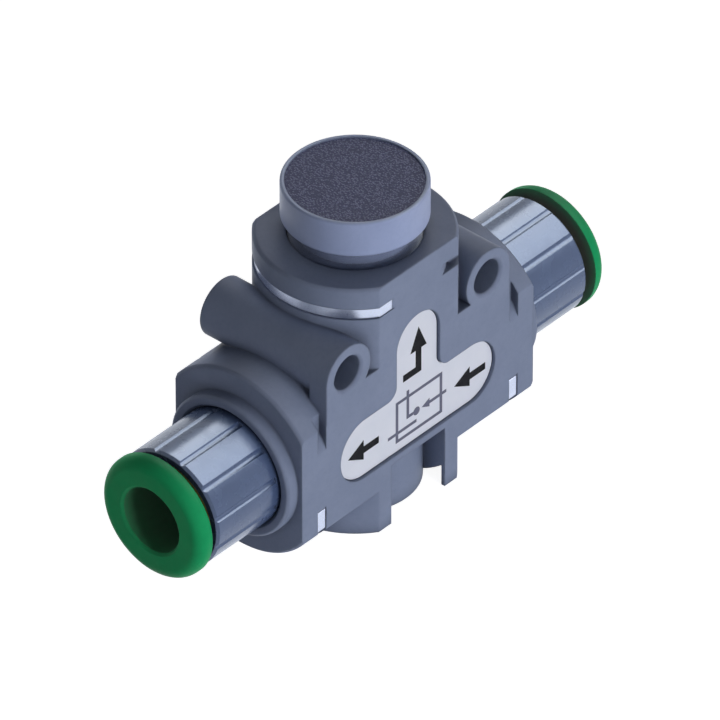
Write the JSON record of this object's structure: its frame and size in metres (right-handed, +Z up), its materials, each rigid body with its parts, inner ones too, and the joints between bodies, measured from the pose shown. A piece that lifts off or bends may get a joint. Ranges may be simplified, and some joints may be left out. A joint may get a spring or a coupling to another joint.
{
  "type": "quick exhaust valve",
  "caption": "In-line quick exhaust valve: a flat-sided tee with a push-in tube fitting at either end, a porous silencer on top, cross holes for mounting and a flow label.",
  "frame": {"origin": "on the base, below the crossing of the flow axis and the exhaust axis", "axes": "+X along the flow axis towards the inlet, +Z up along the exhaust axis, label on -Y"},
  "size_m": [0.0674, 0.0186, 0.0403],
  "materials": {
    "body_plastic": "moulded satin",
    "sleeve_plastic": "glossy",
    "silencer_plastic": "semi-gloss",
    "inner_plastic": "natural",
    "porous_plastic": "sintered",
    "label_plastic": "smooth",
    "clip_steel": "bright",
    "collar_brass": "turned",
    "release_plastic": "semi-gloss",
    "seal_rubber": "matt",
    "tube_seal_rubber": "matt"
  },
  "bodies": {
    "valve_body": {"body": "body_plastic", "label": "label_plastic", "bottom_plug": "body_plastic", "bottom_plug_o_ring": "seal_rubber", "inlet_seat": "inner_plastic", "exhaust_seat": "inner_plastic", "exhaust_seat_o_ring": "seal_rubber", "exhaust_clip": "clip_steel", "inlet_clip": "clip_steel", "outlet_clip": "clip_steel"},
    "lip_seal": {"lip_seal": "seal_rubber"},
    "silencer": {"silencer_housing": "silencer_plastic", "silencer_disc": "porous_plastic", "silencer_o_ring": "seal_rubber"},
    "inlet_fitting": {"inlet_sleeve": "sleeve_plastic", "inlet_fitting_o_ring": "seal_rubber", "inlet_tube_seal": "tube_seal_rubber", "inlet_seal_washer": "inner_plastic", "inlet_gripper_ring": "clip_steel", "inlet_collar": "collar_brass"},
    "inlet_release": {"inlet_release_ring": "release_plastic"},
    "outlet_fitting": {"outlet_sleeve": "sleeve_plastic", "outlet_fitting_o_ring": "seal_rubber", "outlet_tube_seal": "tube_seal_rubber", "outlet_seal_washer": "inner_plastic", "outlet_gripper_ring": "clip_steel", "outlet_collar": "collar_brass"},
    "outlet_release": {"outlet_release_ring": "release_plastic"}
  },
  "joints": [
    {"name": "lip_seal_slide", "type": "slide", "parent": "valve_body", "child": "lip_seal", "axis": [0, 0, 1], "range_m": [0, 0.0015]},
    {"name": "silencer_swivel", "type": "hinge", "parent": "valve_body", "child": "silencer", "pos_m": [0, 0, 0.0127], "axis": [0, 0, 1], "continuous": true},
    {"name": "inlet_fitting_swivel", "type": "hinge", "parent": "valve_body", "child": "inlet_fitting", "pos_m": [0, 0, 0.0127], "axis": [1, 0, 0], "continuous": true},
    {"name": "inlet_release_slide", "type": "slide", "parent": "inlet_fitting", "child": "inlet_release", "axis": [-1, 0, 0], "range_m": [0, 0.0011], "stiffness_N_per_m": 200},
    {"name": "outlet_fitting_swivel", "type": "hinge", "parent": "valve_body", "child": "outlet_fitting", "pos_m": [0, 0, 0.0127], "axis": [-1, 0, 0], "continuous": true},
    {"name": "outlet_release_slide", "type": "slide", "parent": "outlet_fitting", "child": "outlet_release", "axis": [1, 0, 0], "range_m": [0, 0.0011], "stiffness_N_per_m": 200}
  ]
}
